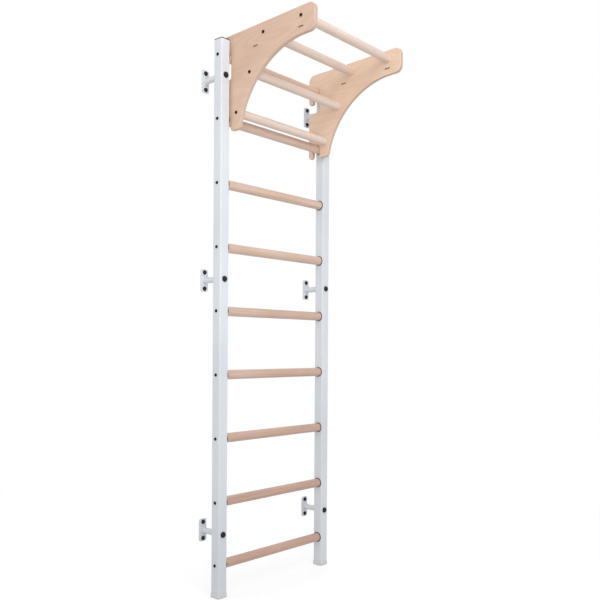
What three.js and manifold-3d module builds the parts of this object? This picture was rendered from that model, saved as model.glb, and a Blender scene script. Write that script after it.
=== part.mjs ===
// Swedish wall bars: a steel ladder with beech rungs, held off a wall by six brackets, and a plywood
// pull-up frame that hangs on its two upper rungs. Millimetres, +Z up. The origin is on the floor at the
// foot of the wall, midway between the posts: the wall is the plane Y = 0 and the ladder's front faces -Y.

import * as THREE from "three";
import { mergeVertices } from "three/addons/utils/BufferGeometryUtils.js";
import Module from "manifold-3d";

// Rungs
const RUNG_COUNT = 9;
const RUNG_PITCH = 254;
const FIRST_RUNG_HEIGHT = 128;
const FIRST_RUNG_GAP = 249; // from the lowest rung to the second one
const RUNG_DIAMETER = 38;
const RUNG_SPAN = 580; // clear width between the posts
const RUNG_END_GAP = 1; // from a rung's end to the outer wall of the post
const RUNG_SCREW_HOLE = 6;
const RUNG_SCREW_DEPTH = 40;

// Rubber rings round the rung ends
const RING_WALL = 2.5;
const RING_WIDTH = 1.5;

// Posts of square steel tube, with their caps and feet
const POST_SIZE = 45;
const POST_WALL = 2;
const POST_CORNER = 5;
const TOP_ABOVE_RUNG = 64; // from the top rung's axis to the top of the post caps
const CAP_PLATE = 3.5;
const CAP_PLUG = 12;
const FOOT_HEIGHT = 16;
const FOOT_WALL = 2;
const FOOT_FLOOR = 4;

// Wall brackets and their bolts
const WALL_DISTANCE = 80; // from the wall to the back of the posts
const PLATE_HEIGHT = 92;
const PLATE_WIDTH = 37;
const PLATE_THICKNESS = 5;
const PLATE_CORNER = 9;
const WALL_SCREW_FROM_END = 13; // from the plate's end to the screw
const WALL_SCREW_HOLE = 8.4;
const ARM_DIAMETER = 24;
const LOWER_BRACKET_RISE = 123; // from the lowest rung's axis up to the lower bracket
const UPPER_BRACKET_DROP = 81; // from the top rung's axis down to the upper bracket
const BRACKET_BOLT_DIAMETER = 10;
const BRACKET_BOLT_DEPTH = 24; // thread inside the arm
const BRACKET_CAP_DIAMETER = 24;
const BRACKET_CAP_HEIGHT = 10;

// Plywood side panels of the pull-up frame
const PANEL_THICKNESS = 18;
const PANEL_TO_POST = 8;
const REACH = 460; // from the rung axis to the tip of the arm
const TIP_DEPTH = 102.5;
const TIP_RISE = 8.5; // the top edge climbs this much towards the tip
const SWEEP_START = 50; // from the tip to where the underside starts to curve
const PRONG_WIDTH = 46;
const PRONG_BELOW_RUNG = 23;
const HOOK_WALL = 23; // plywood behind the rung
const HOOK_ROOF = 65.7; // plywood above the rung
const HOOK_CLEARANCE = 1;
const LIFT = 70; // travel that takes the hooks off the rungs
const LIFT_STOP_GAP = 2;
const LIFT_EXIT_GAP = 4;
const OUTER_CORNER = 28;
const TOE_CORNER = 15;
const NOTCH_CORNER = 10;
const MOUTH_CORNER = 8;
const BEAK_CORNER = 6;
const SLOT_LENGTH = 28;
const SLOT_WIDTH = 6;
const FRONT_SLOT_ABOVE_UNDERSIDE = 26;
const REAR_SLOT_ABOVE_UNDERSIDE = 17;
const FRONT_SLOT_BEHIND_BAR = 3;
const REAR_SLOT_BEHIND_BAR = 44;

// Pull-up bars and their bolts
const BAR_DIAMETER = 35;
const TIP_TO_BAR = 66;
const BAR_BELOW_TOP = 36;
const SECOND_BAR_DROP = 8; // from the first bar
const BAR_SPACING = 194;
const THIRD_BAR_FORWARD = 126; // from the top rung's axis
const THIRD_BAR_DROP = 85.5;
const FOURTH_BAR_FORWARD = 51.5; // from the second rung's axis
const FOURTH_BAR_RISE = 25.5;
const PANEL_BOLT_DIAMETER = 8;
const PANEL_BOLT_DEPTH = 40; // thread inside the bar
const PANEL_BOLT_HEAD = 13;
const PANEL_BOLT_HEAD_HEIGHT = 4;

// Fits and facets
const SEAT = 0.3; // gap between pieces that rest on or pass through each other
const CUT = 1; // how far a cutting tool runs past the face that it cuts
const LEAST_CORNER = 0.5;
const ROUND_SIDES = 20;
const BOLT_SIDES = 12;
const HOLE_SIDES = 8;
const CORNER_STEPS = 3;
const WIDE_CORNER_STEPS = 6;
const HOOK_STEPS = 12;
const SWEEP_STEPS = 16;
const DOME_STEPS = 3;

// Places that follow from those sizes
const postX = RUNG_SPAN / 2 + POST_SIZE / 2;
const rungY = -WALL_DISTANCE - POST_SIZE / 2;
const topRungZ = rungHeight(RUNG_COUNT);
const height = topRungZ + TOP_ABOVE_RUNG;
const postBottom = FOOT_FLOOR + SEAT;
const postLength = height - CAP_PLATE - SEAT - postBottom;
const tubeInside = POST_SIZE - 2 * POST_WALL;
const tubeCorner = Math.max(POST_CORNER - POST_WALL, LEAST_CORNER);
const panelInsideX = RUNG_SPAN / 2 - PANEL_TO_POST - PANEL_THICKNESS;

const powderCoat = { color: 0xe9ecef, roughness: 0.45, metalness: 0.0 };
const blackPlastic = { color: 0x17181b, roughness: 0.5, metalness: 0.0 };
const palePlastic = { color: 0xe2e4e4, roughness: 0.55, metalness: 0.0 };
const blackRubber = { color: 0x1a1413, roughness: 0.75, metalness: 0.0 };
const blackSteel = { color: 0x1c1512, roughness: 0.4, metalness: 0.6 };
const beech = { color: 0xe2c3a6, roughness: 0.5, metalness: 0.0 };
const plywood = { color: 0xdfbd9b, roughness: 0.55, metalness: 0.0 };

const wasm = await Module();
wasm.setup();

// A closed geometry as a solid that can be cut and joined. The flat slivers that a turned profile leaves on
// its axis are dropped.
function solid(geometry) {
  const bare = geometry.clone();
  bare.deleteAttribute("normal");
  bare.deleteAttribute("uv");
  const merged = mergeVertices(bare);
  const corners = Array.from(merged.index.array);
  const triangles = [];
  for (let i = 0; i < corners.length; i += 3) {
    const triangle = corners.slice(i, i + 3);
    if (new Set(triangle).size === 3) triangles.push(...triangle);
  }
  const vertProperties = new Float32Array(merged.attributes.position.array);
  const triVerts = new Uint32Array(triangles);
  return new wasm.Manifold(new wasm.Mesh({ numProp: 3, vertProperties, triVerts }));
}

// A finished solid as the geometry of a mesh.
function finished(body) {
  const mesh = body.getMesh();
  const geometry = new THREE.BufferGeometry();
  geometry.setAttribute("position", new THREE.BufferAttribute(mesh.vertProperties, 3));
  geometry.setIndex(new THREE.BufferAttribute(mesh.triVerts, 1));
  geometry.computeVertexNormals();
  return geometry;
}

// Points of an arc, with its angles in degrees.
function arc(x, y, radius, from, to, steps = CORNER_STEPS) {
  const points = [];
  for (let i = 0; i <= steps; i += 1) {
    const angle = THREE.MathUtils.degToRad(from + ((to - from) * i) / steps);
    points.push(new THREE.Vector2(x + radius * Math.cos(angle), y + radius * Math.sin(angle)));
  }
  return points;
}

// A rectangle with round corners, centred on the origin.
function roundedRectangle(width, depth, radius) {
  const x = width / 2 - radius;
  const y = depth / 2 - radius;
  return [
    ...arc(x, y, radius, 0, 90),
    ...arc(-x, y, radius, 90, 180),
    ...arc(-x, -y, radius, 180, 270),
    ...arc(x, -y, radius, 270, 360),
  ];
}

function extruded(outline, depth) {
  return new THREE.ExtrudeGeometry(new THREE.Shape(outline), { depth, bevelEnabled: false });
}

// A rod centred on a point, with its axis along X or Y.
function rod(axis, diameter, length, sides, x, y, z) {
  const geometry = new THREE.CylinderGeometry(diameter / 2, diameter / 2, length, sides);
  if (axis === "x") geometry.rotateZ(Math.PI / 2);
  return solid(geometry.translate(x, y, z));
}

// A bolt along Y: its domed head stands above Y = 0 and its shank goes down from there.
function bolt(headDiameter, headHeight, shankDiameter, shankLength) {
  const profile = [
    new THREE.Vector2(0, -shankLength),
    new THREE.Vector2(shankDiameter / 2, -shankLength),
    new THREE.Vector2(shankDiameter / 2, 0),
    new THREE.Vector2(headDiameter / 2, 0),
  ];
  const rim = headHeight / 4;
  for (let i = 0; i <= DOME_STEPS; i += 1) {
    const angle = ((Math.PI / 2) * i) / DOME_STEPS;
    const radius = i === DOME_STEPS ? 0 : (headDiameter / 2) * Math.cos(angle);
    profile.push(new THREE.Vector2(radius, rim + (headHeight - rim) * Math.sin(angle)));
  }
  return new THREE.LatheGeometry(profile, BOLT_SIDES);
}

// The rungs stand at one pitch, apart from the lowest, which is closer to its neighbour.
function rungHeight(number) {
  if (number === 1) return FIRST_RUNG_HEIGHT;
  return FIRST_RUNG_HEIGHT + FIRST_RUNG_GAP + (number - 2) * RUNG_PITCH;
}

const bracketHeights = {
  lower: FIRST_RUNG_HEIGHT + LOWER_BRACKET_RISE,
  middle: rungHeight(Math.ceil(RUNG_COUNT / 2)) + RUNG_PITCH / 2,
  upper: topRungZ - UPPER_BRACKET_DROP,
};

// The left post, standing on Z = 0 about its own axis: rung holes in the inner wall (+X), screw holes in the
// outer wall and bolt holes from front to back. Turned half round, it is the right post.
function postGeometry() {
  const outside = roundedRectangle(POST_SIZE, POST_SIZE, POST_CORNER);
  const inside = roundedRectangle(tubeInside, tubeInside, tubeCorner);
  const bore = extruded(inside, postLength + 2 * CUT).translate(0, 0, -CUT);
  const wallX = POST_SIZE / 2 - POST_WALL / 2;
  const wallCut = POST_WALL + 2 * CUT;
  const rungHole = RUNG_DIAMETER + 2 * SEAT;
  let post = solid(extruded(outside, postLength)).subtract(solid(bore));
  for (let number = 1; number <= RUNG_COUNT; number += 1) {
    const z = rungHeight(number) - postBottom;
    post = post.subtract(rod("x", rungHole, wallCut, ROUND_SIDES, wallX, 0, z));
    post = post.subtract(rod("x", RUNG_SCREW_HOLE, wallCut, HOLE_SIDES, -wallX, 0, z));
  }
  const boltHole = BRACKET_BOLT_DIAMETER + 2 * SEAT;
  for (const z of Object.values(bracketHeights)) {
    post = post.subtract(rod("y", boltHole, POST_SIZE + 2 * CUT, BOLT_SIDES, 0, 0, z - postBottom));
  }
  return finished(post);
}

// A cap's plate lies on the end of the tube, with its plug inside.
function capGeometry() {
  const plugSize = tubeInside - 2 * SEAT;
  const plate = extruded(roundedRectangle(POST_SIZE, POST_SIZE, POST_CORNER), CAP_PLATE);
  const plug = extruded(roundedRectangle(plugSize, plugSize, tubeCorner), CAP_PLUG + CAP_PLATE / 2);
  return finished(solid(plate).add(solid(plug.translate(0, 0, -CAP_PLUG))));
}

// A foot is a cup that the tube stands in.
function footGeometry() {
  const pocketSize = POST_SIZE + 2 * SEAT;
  const size = pocketSize + 2 * FOOT_WALL;
  const corner = POST_CORNER + SEAT;
  const cup = extruded(roundedRectangle(size, size, corner + FOOT_WALL), FOOT_HEIGHT);
  const pocket = extruded(roundedRectangle(pocketSize, pocketSize, corner), FOOT_HEIGHT);
  return finished(solid(cup).subtract(solid(pocket.translate(0, 0, FOOT_FLOOR))));
}

// A rung runs nearly to the outer wall of either post, with a screw hole in each end.
function rungGeometry() {
  const length = RUNG_SPAN + 2 * (POST_SIZE - POST_WALL - RUNG_END_GAP);
  const holeLength = RUNG_SCREW_DEPTH + CUT;
  const holeX = length / 2 + CUT - holeLength / 2;
  let rung = rod("x", RUNG_DIAMETER, length, ROUND_SIDES, 0, 0, 0);
  for (const side of [-1, 1]) {
    rung = rung.subtract(rod("x", RUNG_SCREW_HOLE, holeLength, HOLE_SIDES, side * holeX, 0, 0));
  }
  return finished(rung);
}

// A ring lies on the rung, centred on its own width.
function ringGeometry() {
  const inner = RUNG_DIAMETER / 2 + SEAT;
  const outer = inner + RING_WALL;
  const half = RING_WIDTH / 2;
  const profile = [
    new THREE.Vector2(inner, -half),
    new THREE.Vector2(outer, -half),
    new THREE.Vector2(outer, half),
    new THREE.Vector2(inner, half),
    new THREE.Vector2(inner, -half),
  ];
  return finished(solid(new THREE.LatheGeometry(profile, ROUND_SIDES).rotateZ(Math.PI / 2)));
}

// A bracket's plate lies on the wall (Y = 0), and its arm ends against the back of the post, where it is
// threaded for the bolt.
function bracketGeometry() {
  const armLength = WALL_DISTANCE - SEAT - PLATE_THICKNESS / 2;
  const armY = -PLATE_THICKNESS / 2 - armLength / 2;
  const boreLength = BRACKET_BOLT_DEPTH + CUT;
  const boreY = -WALL_DISTANCE + SEAT - CUT + boreLength / 2;
  const boreDiameter = BRACKET_BOLT_DIAMETER + 2 * SEAT;
  const plate = extruded(roundedRectangle(PLATE_WIDTH, PLATE_HEIGHT, PLATE_CORNER), PLATE_THICKNESS);
  let bracket = solid(plate.rotateX(Math.PI / 2));
  bracket = bracket.add(rod("y", ARM_DIAMETER, armLength, ROUND_SIDES, 0, armY, 0));
  bracket = bracket.subtract(rod("y", boreDiameter, boreLength, BOLT_SIDES, 0, boreY, 0));
  for (const side of [-1, 1]) {
    const z = side * (PLATE_HEIGHT / 2 - WALL_SCREW_FROM_END);
    const holeLength = PLATE_THICKNESS + 2 * CUT;
    bracket = bracket.subtract(rod("y", WALL_SCREW_HOLE, holeLength, HOLE_SIDES, 0, -PLATE_THICKNESS / 2, z));
  }
  return finished(bracket);
}

// A bracket bolt's head lies on the front of the post (Y = 0 here), and its shank runs back into the arm.
function bracketBoltGeometry() {
  const shankLength = POST_SIZE + BRACKET_BOLT_DEPTH - SEAT;
  const geometry = bolt(BRACKET_CAP_DIAMETER, BRACKET_CAP_HEIGHT, BRACKET_BOLT_DIAMETER, shankLength);
  return finished(solid(geometry.rotateX(Math.PI)));
}

// Heights and widths of the side panel, from the top rung's axis: Y is negative towards the tip.
const slotHalf = RUNG_DIAMETER / 2 + HOOK_CLEARANCE;
const panelBack = slotHalf + HOOK_WALL;
const panelTop = RUNG_DIAMETER / 2 + SEAT + HOOK_ROOF;
const tipTop = panelTop + TIP_RISE;
const panelUnderside = tipTop - TIP_DEPTH;
const panelBottom = -RUNG_PITCH - RUNG_DIAMETER / 2 - PRONG_BELOW_RUNG;
const pocketCentre = RUNG_DIAMETER / 2 + SEAT - slotHalf;
const notchFloor = -RUNG_DIAMETER / 2 - LIFT - LIFT_STOP_GAP;
const beakEnd = -LIFT + RUNG_DIAMETER / 2 + LIFT_EXIT_GAP;

// Bar centres, from the top rung's axis.
const barY = -REACH + TIP_TO_BAR;
const barZ = tipTop - BAR_BELOW_TOP;
const barCentres = [
  new THREE.Vector2(barY, barZ),
  new THREE.Vector2(barY + BAR_SPACING, barZ - SECOND_BAR_DROP),
  new THREE.Vector2(-THIRD_BAR_FORWARD, -THIRD_BAR_DROP),
  new THREE.Vector2(-FOURTH_BAR_FORWARD, -RUNG_PITCH + FOURTH_BAR_RISE),
];

// The panel's outline, from the top rear corner forwards to the tip, down the swept underside to the front
// prong, over the lower slot, up the back and round the hook. The sweep is an arc that leaves the underside
// level and would meet the bottom at the toe, which is then rounded off.
function panelOutline() {
  const sweepY = -REACH + SWEEP_START;
  const toeY = -slotHalf - PRONG_WIDTH;
  const across = toeY - sweepY;
  const drop = panelUnderside - panelBottom;
  const sweepRadius = (across ** 2 + drop ** 2) / (2 * drop);
  const sweepZ = panelUnderside - sweepRadius;
  const toeZ = panelBottom + TOE_CORNER;
  const toeCentreY = sweepY + Math.sqrt((sweepRadius + TOE_CORNER) ** 2 - (toeZ - sweepZ) ** 2);
  const toeAngle = THREE.MathUtils.radToDeg(Math.atan2(toeZ - sweepZ, toeCentreY - sweepY));
  const tipY = -REACH + OUTER_CORNER;
  const rearY = panelBack - OUTER_CORNER;
  const topAngle = 90 - THREE.MathUtils.radToDeg(Math.atan2(TIP_RISE, rearY - tipY));
  const tongue = HOOK_WALL / 2;
  return [
    ...arc(rearY, panelTop - OUTER_CORNER, OUTER_CORNER, 0, topAngle, WIDE_CORNER_STEPS),
    ...arc(tipY, tipTop - OUTER_CORNER, OUTER_CORNER, topAngle, 180, WIDE_CORNER_STEPS),
    ...arc(tipY, panelUnderside + OUTER_CORNER, OUTER_CORNER, 180, 270, WIDE_CORNER_STEPS),
    ...arc(sweepY, sweepZ, sweepRadius, 90, toeAngle, SWEEP_STEPS),
    ...arc(toeCentreY, toeZ, TOE_CORNER, toeAngle + 180, 270, WIDE_CORNER_STEPS),
    ...arc(-slotHalf - MOUTH_CORNER, panelBottom + MOUTH_CORNER, MOUTH_CORNER, 270, 360),
    ...arc(0, pocketCentre - RUNG_PITCH, slotHalf, 180, 0, HOOK_STEPS),
    ...arc(slotHalf + tongue, panelBottom + tongue, tongue, 180, 360, WIDE_CORNER_STEPS),
    ...arc(panelBack - BEAK_CORNER, notchFloor - BEAK_CORNER, BEAK_CORNER, 0, 90),
    ...arc(-slotHalf + NOTCH_CORNER, notchFloor + NOTCH_CORNER, NOTCH_CORNER, 270, 180),
    ...arc(0, pocketCentre, slotHalf, 180, 0, HOOK_STEPS),
    ...arc(slotHalf + BEAK_CORNER, beakEnd + BEAK_CORNER, BEAK_CORNER, 180, 270),
    ...arc(panelBack - BEAK_CORNER, beakEnd + BEAK_CORNER, BEAK_CORNER, 270, 360),
  ];
}

// A short slot with round ends, level, centred on the origin.
function slotOutline() {
  const radius = SLOT_WIDTH / 2;
  const x = SLOT_LENGTH / 2 - radius;
  return [
    ...arc(x, 0, radius, -90, 90, HOLE_SIDES / 2),
    ...arc(-x, 0, radius, 90, 270, HOLE_SIDES / 2),
  ];
}

// A side panel: the outline drawn in Y and Z and extruded along X, centred on its own thickness.
function panelGeometry() {
  const sideways = new THREE.Matrix4().makeBasis(
    new THREE.Vector3(0, 1, 0),
    new THREE.Vector3(0, 0, 1),
    new THREE.Vector3(1, 0, 0),
  );
  const plate = extruded(panelOutline(), PANEL_THICKNESS).applyMatrix4(sideways);
  const cutLength = PANEL_THICKNESS + 2 * CUT;
  const boltHole = PANEL_BOLT_DIAMETER + 2 * SEAT;
  let panel = solid(plate.translate(-PANEL_THICKNESS / 2, 0, 0));
  for (const centre of barCentres) {
    panel = panel.subtract(rod("x", boltHole, cutLength, BOLT_SIDES, 0, centre.x, centre.y));
  }
  const slotCentres = [
    new THREE.Vector2(barCentres[0].x + FRONT_SLOT_BEHIND_BAR, panelUnderside + FRONT_SLOT_ABOVE_UNDERSIDE),
    new THREE.Vector2(barCentres[1].x + REAR_SLOT_BEHIND_BAR, panelUnderside + REAR_SLOT_ABOVE_UNDERSIDE),
  ];
  for (const centre of slotCentres) {
    const slot = extruded(slotOutline(), cutLength).applyMatrix4(sideways);
    panel = panel.subtract(solid(slot.translate(-cutLength / 2, centre.x, centre.y)));
  }
  return finished(panel);
}

// A pull-up bar fills the space between the panels, with a bolt hole in each end.
function barGeometry() {
  const length = 2 * (panelInsideX - SEAT);
  const holeLength = PANEL_BOLT_DEPTH + CUT;
  const holeX = length / 2 + CUT - holeLength / 2;
  const holeDiameter = PANEL_BOLT_DIAMETER + 2 * SEAT;
  let bar = rod("x", BAR_DIAMETER, length, ROUND_SIDES, 0, 0, 0);
  for (const side of [-1, 1]) {
    bar = bar.subtract(rod("x", holeDiameter, holeLength, BOLT_SIDES, side * holeX, 0, 0));
  }
  return finished(bar);
}

// A panel bolt's head lies on the panel's outer face (X = 0 here), with its shank along +X.
function panelBoltGeometry() {
  const shankLength = PANEL_THICKNESS + PANEL_BOLT_DEPTH;
  const geometry = bolt(PANEL_BOLT_HEAD, PANEL_BOLT_HEAD_HEIGHT, PANEL_BOLT_DIAMETER, shankLength);
  return finished(solid(geometry.rotateZ(Math.PI / 2)));
}

// Puts a piece into its group under its own name.
function place(group, name, geometry, finish, x, y, z, turn = 0) {
  const mesh = new THREE.Mesh(geometry, new THREE.MeshStandardMaterial({ ...finish, flatShading: true }));
  mesh.name = name;
  mesh.position.set(x, y, z);
  mesh.rotation.z = turn;
  group.add(mesh);
}

const sides = { left: -1, right: 1 };
const halfTurn = { left: 0, right: Math.PI };
const wallBars = new THREE.Group();
const ladder = new THREE.Group();
const pullUpFrame = new THREE.Group();
wallBars.add(ladder, pullUpFrame);

// Posts, with a cap and a foot on each
const post = postGeometry();
const cap = capGeometry();
const foot = footGeometry();
for (const [side, sign] of Object.entries(sides)) {
  const x = sign * postX;
  place(ladder, `${side}_post`, post, powderCoat, x, rungY, postBottom, halfTurn[side]);
  place(ladder, `${side}_post_cap`, cap, blackPlastic, x, rungY, height - CAP_PLATE);
  place(ladder, `${side}_foot`, foot, palePlastic, x, rungY, 0);
}

// Rungs from the floor up, each with a ring against either post
const rung = rungGeometry();
const ring = ringGeometry();
const ringX = RUNG_SPAN / 2 - SEAT - RING_WIDTH / 2;
for (let number = 1; number <= RUNG_COUNT; number += 1) {
  place(ladder, `rung_${number}`, rung, beech, 0, rungY, rungHeight(number));
  for (const [side, sign] of Object.entries(sides)) {
    place(ladder, `${side}_ring_${number}`, ring, blackRubber, sign * ringX, rungY, rungHeight(number));
  }
}

// Three brackets behind each post, each with its bolt
const bracket = bracketGeometry();
const bracketBolt = bracketBoltGeometry();
const boltY = -WALL_DISTANCE - POST_SIZE - SEAT;
for (const [side, sign] of Object.entries(sides)) {
  for (const [level, z] of Object.entries(bracketHeights)) {
    place(ladder, `${side}_${level}_bracket`, bracket, powderCoat, sign * postX, 0, z);
    place(ladder, `${side}_${level}_bracket_bolt`, bracketBolt, blackPlastic, sign * postX, boltY, z);
  }
}

// The pull-up frame hangs from the top rung's axis
pullUpFrame.position.set(0, rungY, topRungZ);
const panel = panelGeometry();
const bar = barGeometry();
const panelBolt = panelBoltGeometry();
const panelX = panelInsideX + PANEL_THICKNESS / 2;
const panelBoltX = panelInsideX + PANEL_THICKNESS + SEAT;
for (const [side, sign] of Object.entries(sides)) {
  place(pullUpFrame, `${side}_side_panel`, panel, plywood, sign * panelX, 0, 0);
}
barCentres.forEach((centre, index) => {
  const number = index + 1;
  place(pullUpFrame, `pull_up_bar_${number}`, bar, beech, 0, centre.x, centre.y);
  for (const [side, sign] of Object.entries(sides)) {
    const name = `${side}_panel_bolt_${number}`;
    place(pullUpFrame, name, panelBolt, blackSteel, sign * panelBoltX, centre.x, centre.y, halfTurn[side]);
  }
});

export default wallBars;
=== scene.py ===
import math

import bmesh
import bpy
from mathutils import Matrix, Vector


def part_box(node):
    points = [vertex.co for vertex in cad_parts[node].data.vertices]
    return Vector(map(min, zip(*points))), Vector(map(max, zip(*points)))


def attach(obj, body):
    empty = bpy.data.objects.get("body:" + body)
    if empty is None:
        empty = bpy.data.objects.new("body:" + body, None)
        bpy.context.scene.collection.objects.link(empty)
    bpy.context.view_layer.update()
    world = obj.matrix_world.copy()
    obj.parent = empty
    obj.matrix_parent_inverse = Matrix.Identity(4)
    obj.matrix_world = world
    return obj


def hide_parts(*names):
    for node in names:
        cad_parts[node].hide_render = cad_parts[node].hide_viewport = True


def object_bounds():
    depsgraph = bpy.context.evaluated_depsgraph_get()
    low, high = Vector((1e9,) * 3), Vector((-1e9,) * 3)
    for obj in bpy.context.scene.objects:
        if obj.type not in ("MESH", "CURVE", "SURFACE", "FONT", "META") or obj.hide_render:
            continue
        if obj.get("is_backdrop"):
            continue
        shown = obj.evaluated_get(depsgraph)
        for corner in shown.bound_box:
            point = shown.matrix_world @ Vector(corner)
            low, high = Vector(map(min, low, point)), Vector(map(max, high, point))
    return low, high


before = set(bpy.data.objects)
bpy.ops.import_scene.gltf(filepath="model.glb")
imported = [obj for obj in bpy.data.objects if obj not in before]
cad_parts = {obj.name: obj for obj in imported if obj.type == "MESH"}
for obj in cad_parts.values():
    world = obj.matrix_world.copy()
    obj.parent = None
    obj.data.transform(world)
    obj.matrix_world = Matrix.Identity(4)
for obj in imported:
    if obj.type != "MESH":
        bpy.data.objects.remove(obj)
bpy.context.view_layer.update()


# View
# The camera stands to the left of the ladder, a little over two metres out from the wall and about a metre
# above the floor, and looks half right, nearly level.
camera_place = Vector((-2.3087, -2.3163, 0.9942))
turn_right = math.radians(48.19)
tilt_up = math.radians(-0.128)
roll = math.radians(0.364)
film_width = 36.0
lens_length = 44.642
film_shift = (-0.00064, 0.08266)

level = math.cos(tilt_up)
ahead = Vector((math.sin(turn_right) * level, math.cos(turn_right) * level, math.sin(tilt_up)))
level_right = Vector((math.cos(turn_right), -math.sin(turn_right), 0.0))
level_up = level_right.cross(ahead)
camera_right = level_right * math.cos(roll) + level_up * math.sin(roll)
camera_up = level_up * math.cos(roll) - level_right * math.sin(roll)
camera = bpy.data.objects.new("camera", bpy.data.cameras.new("camera"))
camera.data.sensor_width = film_width
camera.data.lens = lens_length
camera.data.shift_x, camera.data.shift_y = film_shift
camera.matrix_world = Matrix.Translation(camera_place) @ Matrix(
    (camera_right, camera_up, -ahead)
).transposed().to_4x4()
bpy.context.scene.collection.objects.link(camera)
bpy.context.scene.camera = camera


# Posts
# Two square steel tubes with rolled corners, drilled for the rungs, their screws and the bracket bolts. They
# are powder coated white: a thin satin skin with a faint orange peel, a touch greyer where it lies thin.
sides = {"left": -1, "right": 1}
coat_white = (226, 230, 235)
coat_grey = (214, 219, 225)
coat_drift_scale = 2.6
coat_cloud_scale = 11.0
coat_roughness = (0.36, 0.46)
coat_peel_scale = 700.0
coat_peel_depth = 0.00006
noise_span = (0.3, 0.7)
merge_distance = 0.00001
flat_angle = math.radians(0.5)
crease_angle = math.radians(35)


def colour(red, green, blue):
    """A colour as it is seen on a screen, 0 to 255, as the linear one that a shader takes."""
    shares = [channel / 255 for channel in (red, green, blue)]
    return [s / 12.92 if s <= 0.04045 else ((s + 0.055) / 1.055) ** 2.4 for s in shares] + [1.0]


def add_node(tree, kind, inputs=None, **settings):
    """Adds a node with its settings. An input is a value, or the socket of another node to link."""
    node = tree.nodes.new(kind)
    for name, value in settings.items():
        setattr(node, name, value)
    for key, value in (inputs or {}).items():
        if isinstance(value, bpy.types.NodeSocket):
            tree.links.new(value, node.inputs[key])
        else:
            node.inputs[key].default_value = value
    return node


def new_finish(name, **shader_inputs):
    """A new material: its node tree and its shader, with the inputs that are the same all over."""
    finish = bpy.data.materials.new(name)
    finish.use_nodes = True
    shader = finish.node_tree.nodes["Principled BSDF"]
    for key, value in shader_inputs.items():
        shader.inputs[key.replace("_", " ")].default_value = value
    return finish, finish.node_tree, shader


def noise(tree, place, scale, detail=2.0, roughness=0.5):
    """Noise from 0 to 1. A scale of three numbers stretches it, in cells to the metre."""
    stretch = scale if isinstance(scale, tuple) else (scale, scale, scale)
    stretched = add_node(tree, "ShaderNodeMapping", {"Vector": place, "Scale": stretch}).outputs[0]
    inputs = {"Vector": stretched, "Scale": 1.0, "Detail": detail, "Roughness": roughness}
    return add_node(tree, "ShaderNodeTexNoise", inputs).outputs["Fac"]


def graded(tree, share, *stops):
    """Colours along a share from 0 to 1: each stop is a place and a screen colour."""
    ramp = add_node(tree, "ShaderNodeValToRGB", {"Fac": share})
    elements = ramp.color_ramp.elements
    while len(elements) < len(stops):
        elements.new(0.5)
    for element, (place, shade) in zip(elements, stops):
        element.position = place
        element.color = colour(*shade)
    return ramp.outputs["Color"]


def ranged(tree, value, from_low, from_high, to_low, to_high):
    """A value moved from one range into another, and held within it."""
    inputs = {0: value, 1: from_low, 2: from_high, 3: to_low, 4: to_high}
    return add_node(tree, "ShaderNodeMapRange", inputs).outputs["Result"]


def worked(tree, operation, *values):
    """What an operation makes of one or two values or sockets."""
    return add_node(tree, "ShaderNodeMath", dict(enumerate(values)), operation=operation).outputs[0]


def relief(tree, height, depth, below=None):
    """A bump of that depth in metres, over the one below it."""
    inputs = {"Strength": 1.0, "Distance": depth, "Height": height}
    if below is not None:
        inputs["Normal"] = below
    return add_node(tree, "ShaderNodeBump", inputs).outputs["Normal"]


def white_powder_coat():
    finish, tree, shader = new_finish("white_powder_coat", Specular_IOR_Level=0.45)
    place = add_node(tree, "ShaderNodeTexCoord").outputs["Object"]
    drift = noise(tree, place, coat_drift_scale, detail=3.0)
    cloud = noise(tree, place, coat_cloud_scale, detail=4.0)
    peel = noise(tree, place, coat_peel_scale, detail=1.0)
    tree.links.new(graded(tree, drift, (0.3, coat_grey), (0.7, coat_white)), shader.inputs["Base Color"])
    tree.links.new(ranged(tree, cloud, *noise_span, *coat_roughness), shader.inputs["Roughness"])
    tree.links.new(relief(tree, peel, coat_peel_depth), shader.inputs["Normal"])
    return finish


def middle(node):
    """The middle of a node's box."""
    low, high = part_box(node)
    return (low + high) / 2


def new_piece(name, mesh):
    """A mesh as a new object at the origin."""
    piece = bpy.data.objects.new(name, mesh)
    bpy.context.scene.collection.objects.link(piece)
    return piece


def merged_copy(node, name):
    """The solid of a node as a new piece, with its triangles merged into whole faces."""
    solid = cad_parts[node].data
    mesh = bpy.data.meshes.new(name)
    mesh.from_pydata([v.co for v in solid.vertices], [], [list(p.vertices) for p in solid.polygons])
    shell = bmesh.new()
    shell.from_mesh(mesh)
    bmesh.ops.remove_doubles(shell, verts=shell.verts, dist=merge_distance)
    bmesh.ops.dissolve_limit(shell, angle_limit=flat_angle, verts=shell.verts, edges=shell.edges)
    shell.to_mesh(mesh)
    shell.free()
    return new_piece(name, mesh)


def settle(piece):
    """Makes what the modifiers give the piece's own plain mesh."""
    graph = bpy.context.evaluated_depsgraph_get()
    made = piece.evaluated_get(graph)
    mesh = bpy.data.meshes.new_from_object(made, preserve_all_data_layers=True, depsgraph=graph)
    piece.modifiers.clear()
    piece.data = mesh


def ease_edges(piece, radius, segments=3):
    """Rounds the sharp edges of a piece."""
    bevel = piece.modifiers.new("eased edges", "BEVEL")
    bevel.width = radius
    bevel.segments = segments
    bevel.limit_method = "ANGLE"
    bevel.angle_limit = crease_angle
    bevel.use_clamp_overlap = False
    bevel.miter_outer = "MITER_ARC"
    settle(piece)


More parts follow.
